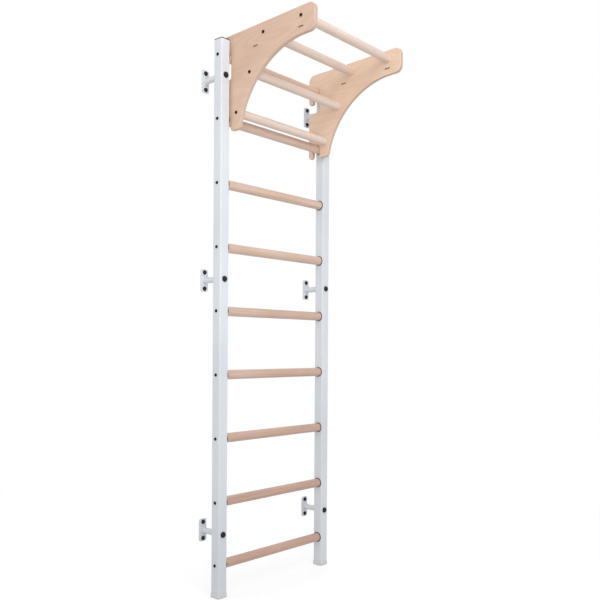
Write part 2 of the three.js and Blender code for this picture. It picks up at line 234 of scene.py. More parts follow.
def shade_smooth(piece):
    """Shades a piece smooth, apart from its creases, with its flat faces left flat."""
    shell = bmesh.new()
    shell.from_mesh(piece.data)
    for face in shell.faces:
        face.smooth = True
    for edge in shell.edges:
        edge.smooth = edge.calc_face_angle(math.pi) < crease_angle
    shell.to_mesh(piece.data)
    shell.free()
    even = piece.modifiers.new("even shading", "WEIGHTED_NORMAL")
    even.keep_sharp = True
    settle(piece)


powder_coat = white_powder_coat()
for side in sides:
    tube = merged_copy(f"{side}_post", f"{side}_post_tube")
    shade_smooth(tube)
    tube.data.materials.append(powder_coat)
    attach(tube, "ladder")
    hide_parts(f"{side}_post")


# Post caps
# Thin black plastic plates that close the tops of the tubes, each with a plug pressed into the tube. They are
# moulded, with a fine even texture and a softly rounded rim.
cap_edge_radius = 0.0008
cap_black = (14, 15, 18)
cap_grey = (22, 23, 27)
cap_drift_scale = 60.0
cap_roughness = (0.34, 0.46)
cap_grain_scale = 1500.0
cap_grain_depth = 0.00003


def black_plastic():
    finish, tree, shader = new_finish("black_plastic", Specular_IOR_Level=0.3)
    place = add_node(tree, "ShaderNodeTexCoord").outputs["Object"]
    drift = noise(tree, place, cap_drift_scale, detail=3.0)
    grain = noise(tree, place, cap_grain_scale)
    tree.links.new(graded(tree, drift, (0.3, cap_black), (0.75, cap_grey)), shader.inputs["Base Color"])
    tree.links.new(ranged(tree, drift, *noise_span, *cap_roughness), shader.inputs["Roughness"])
    tree.links.new(relief(tree, grain, cap_grain_depth), shader.inputs["Normal"])
    return finish


moulded_black = black_plastic()
for side in sides:
    cap = merged_copy(f"{side}_post_cap", f"{side}_post_top_cap")
    ease_edges(cap, cap_edge_radius)
    shade_smooth(cap)
    cap.data.materials.append(moulded_black)
    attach(cap, "ladder")
    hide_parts(f"{side}_post_cap")


# Feet
# Pale plastic cups that the tubes stand in. They are moulded in a soft grade that scuffs at the bottom rim,
# where it meets the floor.
foot_edge_radius = 0.0012
foot_pale = (222, 224, 223)
foot_scuffed = (196, 197, 194)
foot_scuff_top = 0.012
foot_scuff_scale = (90.0, 90.0, 240.0)
foot_roughness = (0.46, 0.66)
foot_grain_scale = 1100.0
foot_grain_depth = 0.00004


def pale_plastic():
    finish, tree, shader = new_finish("pale_plastic", Specular_IOR_Level=0.4)
    place = add_node(tree, "ShaderNodeTexCoord").outputs["Object"]
    height = add_node(tree, "ShaderNodeSeparateXYZ", {0: place}).outputs["Z"]
    patches = noise(tree, place, foot_scuff_scale, detail=4.0)
    low = ranged(tree, height, 0.0, foot_scuff_top, 1.0, 0.0)
    scuffs = worked(tree, "MULTIPLY", low, patches)
    grain = noise(tree, place, foot_grain_scale)
    tree.links.new(graded(tree, scuffs, (0.1, foot_pale), (0.7, foot_scuffed)), shader.inputs["Base Color"])
    tree.links.new(ranged(tree, scuffs, 0.0, 0.6, *foot_roughness), shader.inputs["Roughness"])
    tree.links.new(relief(tree, grain, foot_grain_depth), shader.inputs["Normal"])
    return finish


moulded_pale = pale_plastic()
for side in sides:
    foot = merged_copy(f"{side}_foot", f"{side}_foot_cup")
    ease_edges(foot, foot_edge_radius)
    shade_smooth(foot)
    foot.data.materials.append(moulded_pale)
    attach(foot, "ladder")
    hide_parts(f"{side}_foot")


# Rungs
# Nine beech dowels, turned round, sanded and given a clear satin lacquer. Each is cut from its own place in
# the log, with its own growth rings. Their colour is scaled by height: darker low down as painted shade,
# paler high up as painted light. The ends pass through the inner walls of the posts.
dowel_sides = 72
dowel_edge_radius = 0.0008
rung_numbers = range(1, 10)
rung_pale = (224, 197, 178)
rung_mid = (211, 178, 155)
rung_warm = (192, 155, 131)
low_rung_painted_shade = Vector((0.88, 0.83, 0.87))
high_rung_painted_light = Vector((1.1, 1.19, 1.3))
fleck_brown = (150, 108, 82)
log_length = 40.0
heart_distance = (0.025, 0.09)
growth_pitch = 0.0032
growth_stretch = 0.07
growth_share = 0.16
wave_period = math.pi / 10
streak_scale = (150.0, 150.0, 4.0)
streak_share = 0.42
streak_depth = 0.00008
mottle_scale = (26.0, 26.0, 3.0)
mottle_share = 0.42
fleck_scale = (1500.0, 1500.0, 190.0)
fleck_span = (0.62, 0.72)
fleck_share = 0.5
fleck_depth = 0.00004
beech_roughness = (0.38, 0.5)


def new_tree(name, **inputs):
    """A new tree that makes a mesh from inputs of these kinds, and their sockets within it."""
    tree = bpy.data.node_groups.new(name, "GeometryNodeTree")
    for label, kind in inputs.items():
        tree.interface.new_socket(label, in_out="INPUT", socket_type=f"NodeSocket{kind}")
    tree.interface.new_socket("Made", in_out="OUTPUT", socket_type="NodeSocketGeometry")
    return tree, add_node(tree, "NodeGroupInput").outputs


def close_tree(tree, made, finish):
    """Ends a tree: its copies are made real, given their finish and handed out."""
    real = add_node(tree, "GeometryNodeRealizeInstances", {0: made}).outputs[0]
    clad = add_node(tree, "GeometryNodeSetMaterial", {"Geometry": real, "Material": finish}).outputs[0]
    add_node(tree, "NodeGroupOutput", {0: clad})
    return tree


def dowel_tree():
    """A dowel along X. Two attributes stay on it: wood is the place in the log, with Z along the grain, and
    tone scales each colour of its wood; on the rungs it carries painted shade low down and painted light high
    up."""
    tree, given = new_tree(
        "turned_dowel",
        Length="Float",
        Diameter="Float",
        Centre="Vector",
        Sides="Int",
        Seed="Int",
        Tone="Vector",
        Finish="Material",
    )
    radius = worked(tree, "MULTIPLY", given["Diameter"], 0.5)
    sizes = {"Vertices": given["Sides"], "Radius": radius, "Depth": given["Length"]}
    rod = add_node(tree, "GeometryNodeMeshCylinder", sizes).outputs["Mesh"]
    nearest, farthest = heart_distance
    log = {"Min": (0.0, nearest, 0.0), "Max": (math.tau, farthest, log_length), "Seed": given["Seed"]}
    log["ID"] = add_node(tree, "FunctionNodeInputInt", integer=1).outputs[0]
    cut = add_node(tree, "FunctionNodeRandomValue", log, data_type="FLOAT_VECTOR").outputs["Value"]
    turn, heart, along = add_node(tree, "ShaderNodeSeparateXYZ", {0: cut}).outputs
    position = add_node(tree, "GeometryNodeInputPosition").outputs[0]
    rolled = {"Vector": position, "Angle": turn}
    rolled = add_node(tree, "ShaderNodeVectorRotate", rolled, rotation_type="Z_AXIS").outputs[0]
    shift = add_node(tree, "ShaderNodeCombineXYZ", {"Y": heart, "Z": along}).outputs[0]
    wood = add_node(tree, "ShaderNodeVectorMath", {0: rolled, 1: shift}, operation="ADD").outputs[0]
    for label, value in (("wood", wood), ("tone", given["Tone"])):
        kept = {"Geometry": rod, "Name": label, "Value": value}
        kind = {"data_type": "FLOAT_VECTOR", "domain": "POINT"}
        rod = add_node(tree, "GeometryNodeStoreNamedAttribute", kept, **kind).outputs[0]
    laid = {"Geometry": rod, "Translation": given["Centre"], "Rotation": (0, math.pi / 2, 0)}
    laid = add_node(tree, "GeometryNodeTransform", laid).outputs[0]
    return close_tree(tree, laid, given["Finish"])


def grow(piece, tree, **inputs):
    """Runs a node tree on a piece with these inputs, and keeps what it makes as the piece's mesh."""
    growth = piece.modifiers.new(tree.name, "NODES")
    growth.node_group = tree
    for socket in tree.interface.items_tree:
        if socket.name in inputs:
            growth[socket.identifier] = inputs[socket.name]
    settle(piece)


def mixed(tree, share, first, second):
    """One colour over another by a share from 0 to 1."""
    return add_node(tree, "ShaderNodeMix", {0: share, 6: first, 7: second}, data_type="RGBA").outputs[2]


def lacquered_beech(name, pale, mid, warm):
    """Beech in the log's own coordinates: rings about Z, soft streaks and short brown flecks along it."""
    finish, tree, shader = new_finish(name, Specular_IOR_Level=0.45, Coat_Weight=0.12, Coat_Roughness=0.3)
    place = add_node(tree, "ShaderNodeAttribute", attribute_name="wood").outputs["Vector"]
    tone = add_node(tree, "ShaderNodeAttribute", attribute_name="tone").outputs["Vector"]
    drawn = {"Vector": place, "Scale": (1.0, 1.0, growth_stretch)}
    growth = {
        "Vector": add_node(tree, "ShaderNodeMapping", drawn).outputs[0],
        "Scale": wave_period / growth_pitch,
        "Distortion": 5.0,
        "Detail": 2.0,
        "Detail Scale": 0.35,
    }
    rings = {"wave_type": "RINGS", "rings_direction": "Z", "wave_profile": "SAW"}
    growth = add_node(tree, "ShaderNodeTexWave", growth, **rings).outputs["Fac"]
    streaks = noise(tree, place, streak_scale, detail=4.0, roughness=0.6)
    mottle = noise(tree, place, mottle_scale, detail=3.0)
    depth = worked(tree, "MULTIPLY", growth, growth_share)
    depth = worked(tree, "ADD", depth, worked(tree, "MULTIPLY", streaks, streak_share))
    depth = worked(tree, "ADD", depth, worked(tree, "MULTIPLY", mottle, mottle_share))
    wood = graded(tree, depth, (0.28, pale), (0.5, mid), (0.72, warm))
    flecks = ranged(tree, noise(tree, place, fleck_scale, detail=1.0), *fleck_span, 0.0, 1.0)
    wood = mixed(tree, worked(tree, "MULTIPLY", flecks, fleck_share), wood, colour(*fleck_brown))
    # Scaled by the tone attribute, which on the rungs is painted shade low down and painted light high up.
    wood = add_node(tree, "ShaderNodeVectorMath", {0: wood, 1: tone}, operation="MULTIPLY").outputs[0]
    tree.links.new(wood, shader.inputs["Base Color"])
    tree.links.new(ranged(tree, streaks, *noise_span, *beech_roughness), shader.inputs["Roughness"])
    pores = relief(tree, worked(tree, "SUBTRACT", 1.0, flecks), fleck_depth)
    tree.links.new(relief(tree, streaks, streak_depth, pores), shader.inputs["Normal"])
    return finish


def dowel_like(node, seed, tone, finish):
    """A dowel as long and thick as a node."""
    low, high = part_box(node)
    piece = new_piece(f"{node}_dowel", bpy.data.meshes.new("dowel"))
    grow(
        piece,
        turned_dowel,
        Length=high.x - low.x,
        Diameter=high.z - low.z,
        Centre=(low + high) / 2,
        Sides=dowel_sides,
        Seed=seed,
        Tone=tone,
        Finish=finish,
    )
    ease_edges(piece, dowel_edge_radius, segments=2)
    shade_smooth(piece)
    return piece


rung_beech = lacquered_beech("rung_beech", rung_pale, rung_mid, rung_warm)
turned_dowel = dowel_tree()
for number in rung_numbers:
    # Painted light and shade: each rung's colour is scaled by its height, darker low down and paler high up.
    way_up = (number - 1) / (len(rung_numbers) - 1)
    tone = low_rung_painted_shade.lerp(high_rung_painted_light, way_up)
    dowel = dowel_like(f"rung_{number}", number, tone, rung_beech)
    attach(dowel, "ladder")
    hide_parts(f"rung_{number}")


# Rubber rings
# Black rubber collars pushed over the rung ends against the posts, where they close the gap round the hole.
# They are moulded, matt, with rounded rims.
ring_sides = 64
ring_rim_radius = 0.0005
ring_rim_steps = 4
rubber_black = (8, 7, 7)
rubber_dusty = (18, 16, 16)
rubber_dust_scale = 300.0
rubber_roughness = (0.6, 0.8)
rubber_grain_scale = 1800.0
rubber_grain_depth = 0.00005


def black_rubber():
    finish, tree, shader = new_finish("black_rubber", Specular_IOR_Level=0.2)
    place = add_node(tree, "ShaderNodeTexCoord").outputs["Object"]
    dust = noise(tree, place, rubber_dust_scale, detail=4.0)
    grain = noise(tree, place, rubber_grain_scale)
    tree.links.new(graded(tree, dust, (0.4, rubber_black), (0.8, rubber_dusty)), shader.inputs["Base Color"])
    tree.links.new(ranged(tree, dust, *noise_span, *rubber_roughness), shader.inputs["Roughness"])
    tree.links.new(relief(tree, grain, rubber_grain_depth), shader.inputs["Normal"])
    return finish


def turned(name, profile, steps):
    """A piece turned about Z from a profile of radius and height, closed on itself or on the axis."""
    mesh = bpy.data.meshes.new(name)
    shell = bmesh.new()
    points = [shell.verts.new((radius, 0.0, height)) for radius, height in profile]
    edges = [shell.edges.new(pair) for pair in zip(points, points[1:])]
    turn = {"cent": (0, 0, 0), "axis": (0, 0, 1), "angle": math.tau, "steps": steps}
    bmesh.ops.spin(shell, geom=points + edges, use_merge=False, **turn)
    bmesh.ops.remove_doubles(shell, verts=shell.verts, dist=merge_distance)
    bmesh.ops.recalc_face_normals(shell, faces=shell.faces)
    shell.to_mesh(mesh)
    shell.free()
    piece = new_piece(name, mesh)
    shade_smooth(piece)
    return piece


def arc(centre, radius, start, end, steps):
    """Points of an arc in a profile, from one angle to another in degrees."""
    angles = [math.radians(start + (end - start) * step / steps) for step in range(steps + 1)]
    return [(centre[0] + radius * math.cos(a), centre[1] + radius * math.sin(a)) for a in angles]


def fixings_tree():
    """Puts a copy of a fixing on every point. Facing is the way it looks: its X part points away from the
    ladder's middle on either side. Each copy is turned about its own axis by the seed."""
    tree, given = new_tree(
        "fixings_on_points",
        Places="Geometry",
        Fixing="Object",
        Facing="Vector",
        Seed="Int",
        Finish="Material",
    )
    fixing = add_node(tree, "GeometryNodeObjectInfo", {"Object": given["Fixing"]}).outputs["Geometry"]
    position = add_node(tree, "GeometryNodeInputPosition").outputs[0]
    x = add_node(tree, "ShaderNodeSeparateXYZ", {0: position}).outputs["X"]
    outward = worked(tree, "SIGN", x)
    mirrored = add_node(tree, "ShaderNodeCombineXYZ", {"X": outward, "Y": 1.0, "Z": 1.0}).outputs[0]
    facing = {0: given["Facing"], 1: mirrored}
    facing = add_node(tree, "ShaderNodeVectorMath", facing, operation="MULTIPLY").outputs[0]
    aimed = add_node(tree, "FunctionNodeAlignRotationToVector", {"Vector": facing}, axis="Z").outputs[0]
    spin = add_node(tree, "FunctionNodeRandomValue", {3: math.tau, "Seed": given["Seed"]}, data_type="FLOAT")
    spun = {"Axis": (0.0, 0.0, 1.0), "Angle": spin.outputs[1]}
    spun = add_node(tree, "FunctionNodeAxisAngleToRotation", spun).outputs[0]
    both = {"Rotation": aimed, "Rotate By": spun}
    both = add_node(tree, "FunctionNodeRotateRotation", both, rotation_space="LOCAL").outputs[0]
    put = {"Points": given["Places"], "Instance": fixing, "Rotation": both}
    put = add_node(tree, "GeometryNodeInstanceOnPoints", put).outputs[0]
    return close_tree(tree, put, given["Finish"])


def fixings(name, fixing, places, facing, finish):
    """Copies of one fixing at their places, as one piece. The fixing itself is then removed."""
    mesh = bpy.data.meshes.new(name)
    mesh.from_pydata(places, [], [])
    piece = new_piece(name, mesh)
    grow(piece, fixings_on_points, Fixing=fixing, Facing=facing, Seed=len(places), Finish=finish)
    bpy.data.objects.remove(fixing)
    return piece


fixings_on_points = fixings_tree()
low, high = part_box("right_ring_1")
ring_outer = (high.z - low.z) / 2
ring_half = (high.x - low.x) / 2
low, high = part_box("rung_1")
ring_inner = (high.z - low.z) / 2
rim = ring_rim_radius
ring_profile = [(ring_inner, ring_half), (ring_inner, -ring_half)]
ring_profile += arc((ring_outer - rim, -ring_half + rim), rim, -90, 0, ring_rim_steps)
ring_profile += arc((ring_outer - rim, ring_half - rim), rim, 0, 90, ring_rim_steps)
ring_profile.append((ring_inner, ring_half))
ring = turned("ring", ring_profile, ring_sides)
ring_nodes = [f"{side}_ring_{number}" for side in sides for number in rung_numbers]
ring_places = [middle(node) for node in ring_nodes]
rings = fixings("rubber_rings", ring, ring_places, (1, 0, 0), black_rubber())
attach(rings, "ladder")
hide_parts(*ring_nodes)


# Rung screws
# One black button-head screw through the outer wall of the post into each end of a rung. The head is low and
# domed, with a hexagon socket for the key.
rung_screw_diameter = 0.013
rung_screw_height = 0.0036
rung_screw_rim = 0.0006
rung_screw_key = 0.005
rung_screw_socket = 0.0022
rung_screw_shank = 0.0056
rung_screw_length = 0.03
screw_sides = 36
screw_dome_steps = 8
screw_top_share = 0.72
screw_black = (24, 19, 18)
screw_worn = (42, 35, 32)
steel_wear_scale = 520.0
steel_roughness = (0.34, 0.5)
steel_grain_scale = 2600.0
steel_grain_depth = 0.00002


def black_steel():
    finish, tree, shader = new_finish("black_steel", Metallic=0.2, Specular_IOR_Level=0.3)
    place = add_node(tree, "ShaderNodeTexCoord").outputs["Object"]
    wear = noise(tree, place, steel_wear_scale, detail=4.0)
    grain = noise(tree, place, steel_grain_scale)
    tree.links.new(graded(tree, wear, (0.5, screw_black), (0.82, screw_worn)), shader.inputs["Base Color"])
    tree.links.new(ranged(tree, wear, *noise_span, *steel_roughness), shader.inputs["Roughness"])
    tree.links.new(relief(tree, grain, steel_grain_depth), shader.inputs["Normal"])
    return finish


def key_screw(name, diameter, height, rim, key, socket, shank, length):
    """A button-head screw along Z: its head stands on Z = 0, with a hexagon socket cut into the top."""
    profile = [(0.0, -length), (shank / 2, -length), (shank / 2, 0.0)]
    profile += [(diameter / 2, 0.0), (diameter / 2, rim)]
    top = key * screw_top_share
    for step in range(1, screw_dome_steps + 1):
        angle = math.radians(90 * step / screw_dome_steps)
        radius = top + (diameter / 2 - top) * math.cos(angle)
        profile.append((radius, rim + (height - rim) * math.sin(angle)))
    screw = turned(name, profile + [(0.0, height)], screw_sides)
    hexagon = bpy.data.meshes.new("hexagon")
    cutter = bmesh.new()
    corner = key / math.sqrt(3)
    deep = {"radius1": corner, "radius2": corner, "depth": 2 * socket, "segments": 6}
    bmesh.ops.create_cone(cutter, cap_ends=True, matrix=Matrix.Translation((0, 0, height)), **deep)
    cutter.to_mesh(hexagon)
    cutter.free()
    tool = new_piece("hexagon", hexagon)
    cut = screw.modifiers.new("socket", "BOOLEAN")
    cut.object = tool
    cut.operation = "DIFFERENCE"
    cut.solver = "EXACT"
    settle(screw)
    bpy.data.objects.remove(tool)
    shade_smooth(screw)
    return screw


blackened_steel = black_steel()
rung_screw = key_screw(
    "rung_screw",
    rung_screw_diameter,
    rung_screw_height,
    rung_screw_rim,
    rung_screw_key,
    rung_screw_socket,
    rung_screw_shank,
    rung_screw_length,
)
rung_screw_places = []
for side, sign in sides.items():
    low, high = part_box(f"{side}_post")
    outer_face = low.x if sign < 0 else high.x
    for number in rung_numbers:
        axis = middle(f"rung_{number}")
        rung_screw_places.append((outer_face, axis.y, axis.z))
rung_screws = fixings("rung_screws", rung_screw, rung_screw_places, (1, 0, 0), blackened_steel)
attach(rung_screws, "ladder")


# Wall brackets
# Six steel brackets, three behind each post: an upright plate with round corners, and a round arm welded to
# its middle. They are powder coated with the posts, and the coat softens every edge.
levels = ("lower", "middle", "upper")
bracket_edge_radius = 0.0007
bracket_nodes = [f"{side}_{level}_bracket" for side in sides for level in levels]
for node in bracket_nodes:
    bracket = merged_copy(node, f"{node}_coated")
    ease_edges(bracket, bracket_edge_radius, segments=2)
    shade_smooth(bracket)
    bracket.data.materials.append(powder_coat)
    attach(bracket, "ladder")
    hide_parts(node)


# Welds
# A bead of weld runs round the root of each arm where it meets the plate. It is rippled from the torch's
# small steps, and lies under the same coat.
arm_radius = 0.012
plate_thickness = 0.005
weld_radius = 0.0021
weld_ripple = 0.13
weld_ripples = 26
weld_steps = 156
weld_profile_sides = 10
weld_unevenness = 0.25
weld_seed = 4


def weld_tree():
    """A rippled bead round a circle at every point, with the circle's axis along Y."""
    tree, given = new_tree(
        "weld_beads",
        Places="Geometry",
        Arm="Float",
        Bead="Float",
        Ripple="Float",
        Ripples="Int",
        Steps="Int",
        Sides="Int",
        Seed="Int",
        Finish="Material",
    )
    path = {"Resolution": given["Steps"], "Radius": given["Arm"]}
    path = add_node(tree, "GeometryNodeCurvePrimitiveCircle", path).outputs["Curve"]
    section = {"Resolution": given["Sides"], "Radius": given["Bead"]}
    section = add_node(tree, "GeometryNodeCurvePrimitiveCircle", section).outputs["Curve"]
    index = add_node(tree, "GeometryNodeInputIndex").outputs[0]
    turn = worked(tree, "DIVIDE", index, given["Steps"])
    turn = worked(tree, "MULTIPLY", worked(tree, "MULTIPLY", turn, given["Ripples"]), math.tau)
    wave = worked(tree, "SINE", turn)
    uneven = {2: -weld_unevenness, 3: weld_unevenness, "Seed": given["Seed"]}
    uneven = add_node(tree, "FunctionNodeRandomValue", uneven, data_type="FLOAT").outputs[1]
    swell = worked(tree, "MULTIPLY", worked(tree, "ADD", wave, uneven), given["Ripple"])
    swell = worked(tree, "ADD", swell, 1.0)
    bead = {"Curve": path, "Profile Curve": section, "Scale": swell}
    bead = add_node(tree, "GeometryNodeCurveToMesh", bead).outputs[0]
    put = {"Points": given["Places"], "Instance": bead, "Rotation": (math.pi / 2, 0, 0)}
    put = add_node(tree, "GeometryNodeInstanceOnPoints", put).outputs[0]
    return close_tree(tree, put, given["Finish"])


bracket_middles = [middle(node) for node in bracket_nodes]
weld_mesh = bpy.data.meshes.new("bracket_welds")
weld_mesh.from_pydata([(m.x, -plate_thickness, m.z) for m in bracket_middles], [], [])
welds = new_piece("bracket_welds", weld_mesh)
grow(
    welds,
    weld_tree(),
    Arm=arm_radius,
    Bead=weld_radius,
    Ripple=weld_ripple,
    Ripples=weld_ripples,
    Steps=weld_steps,
    Sides=weld_profile_sides,
    Seed=weld_seed,
    Finish=powder_coat,
)
shade_smooth(welds)
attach(welds, "ladder")


# Bracket bolts
# A bolt goes through each post from the front into the thread of the arm behind it. A domed black plastic cap
# is pressed over its head.
bolt_nodes = [f"{node}_bolt" for node in bracket_nodes]
low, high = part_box(bolt_nodes[0])
cap_radius = (high.x - low.x) / 2
cap_height = 0.0102
cap_skirt = 0.002
cap_lip = 0.0004
bolt_radius = 0.005
bolt_length = high.y - low.y - cap_height
cap_steps = 10
lip_steps = 3


def domed(radius, skirt, lip, height, steps):
    """The profile of a domed cap from its rim up to the axis: a short skirt, a small lip and the dome."""
    profile = [(radius, 0.0), (radius, skirt)] + arc((radius - lip, skirt), lip, 0, 90, lip_steps)
    dome_base = skirt + lip
    dome_radius = radius - 2 * lip
    for step in range(steps + 1):
        angle = math.radians(90 * step / steps)
        profile.append((dome_radius * math.cos(angle), dome_base + (height - dome_base) * math.sin(angle)))
    return profile[:-1] + [(0.0, height)]


shank = [(0.0, -bolt_length), (bolt_radius, -bolt_length), (bolt_radius, 0.0)]
bolt = turned("bolt", shank + domed(cap_radius, cap_skirt, cap_lip, cap_height, cap_steps), ring_sides)
post_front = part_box("left_post")[0].y
bolt_places = [(m.x, post_front, m.z) for m in bracket_middles]
bracket_bolts = fixings("bracket_bolts", bolt, bolt_places, (0, -1, 0), moulded_black)
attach(bracket_bolts, "ladder")
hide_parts(*bolt_nodes)


# Wall screws
# Two screws hold each bracket plate to the wall, one above and one below the arm. Each has a black plastic
# cover: a flat washer under a domed cap.
wall_cap_radius = 0.009
wall_cap_height = 0.0085
wall_washer_height = 0.0016
wall_cap_lip = 0.0005
wall_screw_from_end = 0.013
wall_screw_radius = 0.004
low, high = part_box(bracket_nodes[0])
wall_screw_reach = (high.z - low.z) / 2 - wall_screw_from_end
cover = [(0.0, -plate_thickness), (wall_screw_radius, -plate_thickness), (wall_screw_radius, 0.0)]
cover += domed(wall_cap_radius, wall_washer_height, wall_cap_lip, wall_cap_height, cap_steps)
wall_screw = turned("wall_screw", cover, ring_sides)
wall_screw_places = [
    (m.x, -plate_thickness, m.z + way * wall_screw_reach) for m in bracket_middles for way in (-1, 1)
]
wall_screws = fixings("wall_screws", wall_screw, wall_screw_places, (0, -1, 0), moulded_black)
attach(wall_screws, "ladder")


# Side panels
# Two plywood panels carry the pull-up frame: each hooks over the top rung and slots over the second. They are
# cut from two sheets of 18 mm ply, rounded along their edges by a router, where the layers show, then sanded
# and lacquered. The right panel's face is coloured paler than the left's, as painted light against its shade.
panel_edge_radius = 0.0022
panel_edge_share = 0.05
panel_edge_steps = 5
panel_face_slope = 0.9
panel_low, panel_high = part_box("right_side_panel")
ply_count = 13
ply_thickness = (panel_high.x - panel_low.x) / ply_count
glue_line = 0.07
# Painted light: the right panel's face colours are paler than the left's, lifting it out of the shade it lies
# in.
face_tones_and_painted_light = {
    "left": ((223, 193, 171), (215, 182, 159), (205, 169, 145)),
    "right": ((236, 208, 184), (229, 198, 173), (219, 185, 160)),
}
edge_pale = (226, 203, 188)
edge_cross = (213, 186, 168)
edge_end_grain = (190, 157, 136)
glue_brown = (150, 112, 86)
glue_share = 0.55
figure_scale = (3.0, 1.5, 6.5)
figure_contours = 85.0
figure_share = 0.1
fibre_scale = (3.0, 16.0, 620.0)
fibre_share = 0.4
fibre_depth = 0.00006
cloud_scale = (3.0, 3.0, 7.0)
cloud_share = 0.44
pore_scale = (3.0, 110.0, 1900.0)
pore_span = (0.66, 0.76)
pore_share = 0.3
pore_depth = 0.00003
edge_scale = (900.0, 500.0, 500.0)
end_grain_shares = (0.35, 0.95)
plywood_roughness = (0.42, 0.54)


def outlines(solid):
    """The loops of points round a solid's +X face, each with the way into the wood at every point."""
    across = Vector((1, 0, 0))
    shell = bmesh.new()
    shell.from_mesh(solid)
    bmesh.ops.remove_doubles(shell, verts=shell.verts, dist=merge_distance)
    face = {polygon for polygon in shell.faces if polygon.normal.x > panel_face_slope}
    corners = [corner for polygon in face for corner in polygon.loops]
    rim = [corner for corner in corners if not face.issuperset(corner.edge.link_faces)]
    following = {corner.vert: corner.link_loop_next.vert for corner in rim}
    loops = []
    while following:
        point, onward = following.popitem()
        loop = [point.co.copy()]
        while onward in following:
            loop.append(onward.co.copy())
            onward = following.pop(onward)
        ways = []
        for before, here, after in zip(loop[-1:] + loop, loop, loop[1:] + loop[:1]):
            first = across.cross((here - before).normalized())
            second = across.cross((after - here).normalized())
            ways.append((first + second) / (1 + first.dot(second)))
        loops.append((loop, ways))
    shell.free()
    return loops


def routed(node, name):
    """A panel cut to the outlines of its solid, with its edges rounded over on both faces."""
    low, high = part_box(node)
    mesh = bpy.data.meshes.new(name)
    shell = bmesh.new()
    rims = ([], [])
    for loop, ways in outlines(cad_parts[node].data):
        span = max(point.y for point in loop) - min(point.y for point in loop)
        radius = min(panel_edge_radius, span * panel_edge_share)
        section = arc((low.x + radius, radius), radius, 180, 270, panel_edge_steps)
        section += [(low.x + high.x - x, inset) for x, inset in section[::-1]]
        rows = []
        for x, inset in section:
            edge = [point + way * inset for point, way in zip(loop, ways)]
            rows.append([shell.verts.new((x, point.y, point.z)) for point in edge])
        for row, upper in zip(rows, rows[1:]):
            for here, there in zip(range(-1, len(row) - 1), range(len(row))):
                shell.faces.new((row[here], row[there], upper[there], upper[here]))
        for rim, row in zip(rims, (rows[0], rows[-1])):
            rim += [shell.edges.get((row[here], row[here + 1])) for here in range(-1, len(row) - 1)]
    for rim, way in zip(rims, (-1, 1)):
        bmesh.ops.triangle_fill(shell, use_beauty=True, edges=rim, normal=(way, 0, 0))
    bmesh.ops.recalc_face_normals(shell, faces=shell.faces)
    shell.to_mesh(mesh)
    shell.free()
    return new_piece(name, mesh)


def lacquered_plywood(name, pale, mid, warm):
    """Plywood as a solid: the layers lie across X, the face veneer and every other layer run along Y, and the
    rest along Z. A layer is darker where the cut shows the ends of its fibres."""
    finish, tree, shader = new_finish(name, Specular_IOR_Level=0.42, Coat_Weight=0.08, Coat_Roughness=0.35)
    whole = add_node(tree, "ShaderNodeTexCoord").outputs
    place = whole["Object"]
    x = add_node(tree, "ShaderNodeSeparateXYZ", {0: place}).outputs["X"]
    depth = worked(tree, "SUBTRACT", worked(tree, "ABSOLUTE", x), panel_low.x)
    layer = worked(tree, "DIVIDE", depth, ply_thickness)
    number = worked(tree, "FLOOR", layer)
    within = worked(tree, "FRACT", layer)
    crosswise = worked(tree, "FLOORED_MODULO", number, 2.0)
    first = worked(tree, "LESS_THAN", layer, 1.0)
    last = worked(tree, "GREATER_THAN", layer, ply_count - 1.0)
    skin = worked(tree, "MAXIMUM", first, last)

    figure = noise(tree, place, figure_scale, roughness=0.45)
    contours = worked(tree, "SINE", worked(tree, "MULTIPLY", figure, figure_contours))
    contours = ranged(tree, contours, -1.0, 1.0, 0.0, 1.0)
    fibres = noise(tree, place, fibre_scale, detail=3.0, roughness=0.6)
    clouds = noise(tree, place, cloud_scale, detail=3.0)
    tone = worked(tree, "MULTIPLY", contours, figure_share)
    tone = worked(tree, "ADD", tone, worked(tree, "MULTIPLY", fibres, fibre_share))
    tone = worked(tree, "ADD", tone, worked(tree, "MULTIPLY", clouds, cloud_share))
    face = graded(tree, tone, (0.3, pale), (0.5, mid), (0.72, warm))
    pores = ranged(tree, noise(tree, place, pore_scale, detail=1.0), *pore_span, 0.0, 1.0)
    face = mixed(tree, worked(tree, "MULTIPLY", pores, pore_share), face, colour(*glue_brown))

    normal = add_node(tree, "ShaderNodeSeparateXYZ", {0: whole["Normal"]}).outputs
    facing_y = worked(tree, "MULTIPLY", normal["Y"], normal["Y"])
    facing_z = worked(tree, "MULTIPLY", normal["Z"], normal["Z"])
    fine = noise(tree, place, edge_scale, detail=3.0)
    long_wood = mixed(tree, fine, colour(*edge_pale), colour(*edge_cross))
    end_share = mixed(tree, crosswise, facing_y, facing_z)
    end_share = worked(tree, "MULTIPLY", end_share, ranged(tree, fine, *noise_span, *end_grain_shares))
    edge = mixed(tree, end_share, long_wood, colour(*edge_end_grain))
    gap = worked(tree, "ABSOLUTE", worked(tree, "SUBTRACT", within, 0.5))
    seam = ranged(tree, gap, 0.5 - glue_line, 0.5, 0.0, glue_share)
    edge = mixed(tree, seam, edge, colour(*glue_brown))
    tree.links.new(mixed(tree, skin, edge, face), shader.inputs["Base Color"])
    tree.links.new(ranged(tree, fibres, *noise_span, *plywood_roughness), shader.inputs["Roughness"])
    grain = relief(tree, fibres, fibre_depth)
    grain = relief(tree, worked(tree, "SUBTRACT", 1.0, pores), pore_depth, grain)
    tree.links.new(grain, shader.inputs["Normal"])
    return finish


for side in sides:
    panel = routed(f"{side}_side_panel", f"{side}_panel_plywood")
    shade_smooth(panel)
    panel.data.materials.append(lacquered_plywood(f"{side}_plywood", *face_tones_and_painted_light[side]))
    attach(panel, "pull_up_frame")
    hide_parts(f"{side}_side_panel")
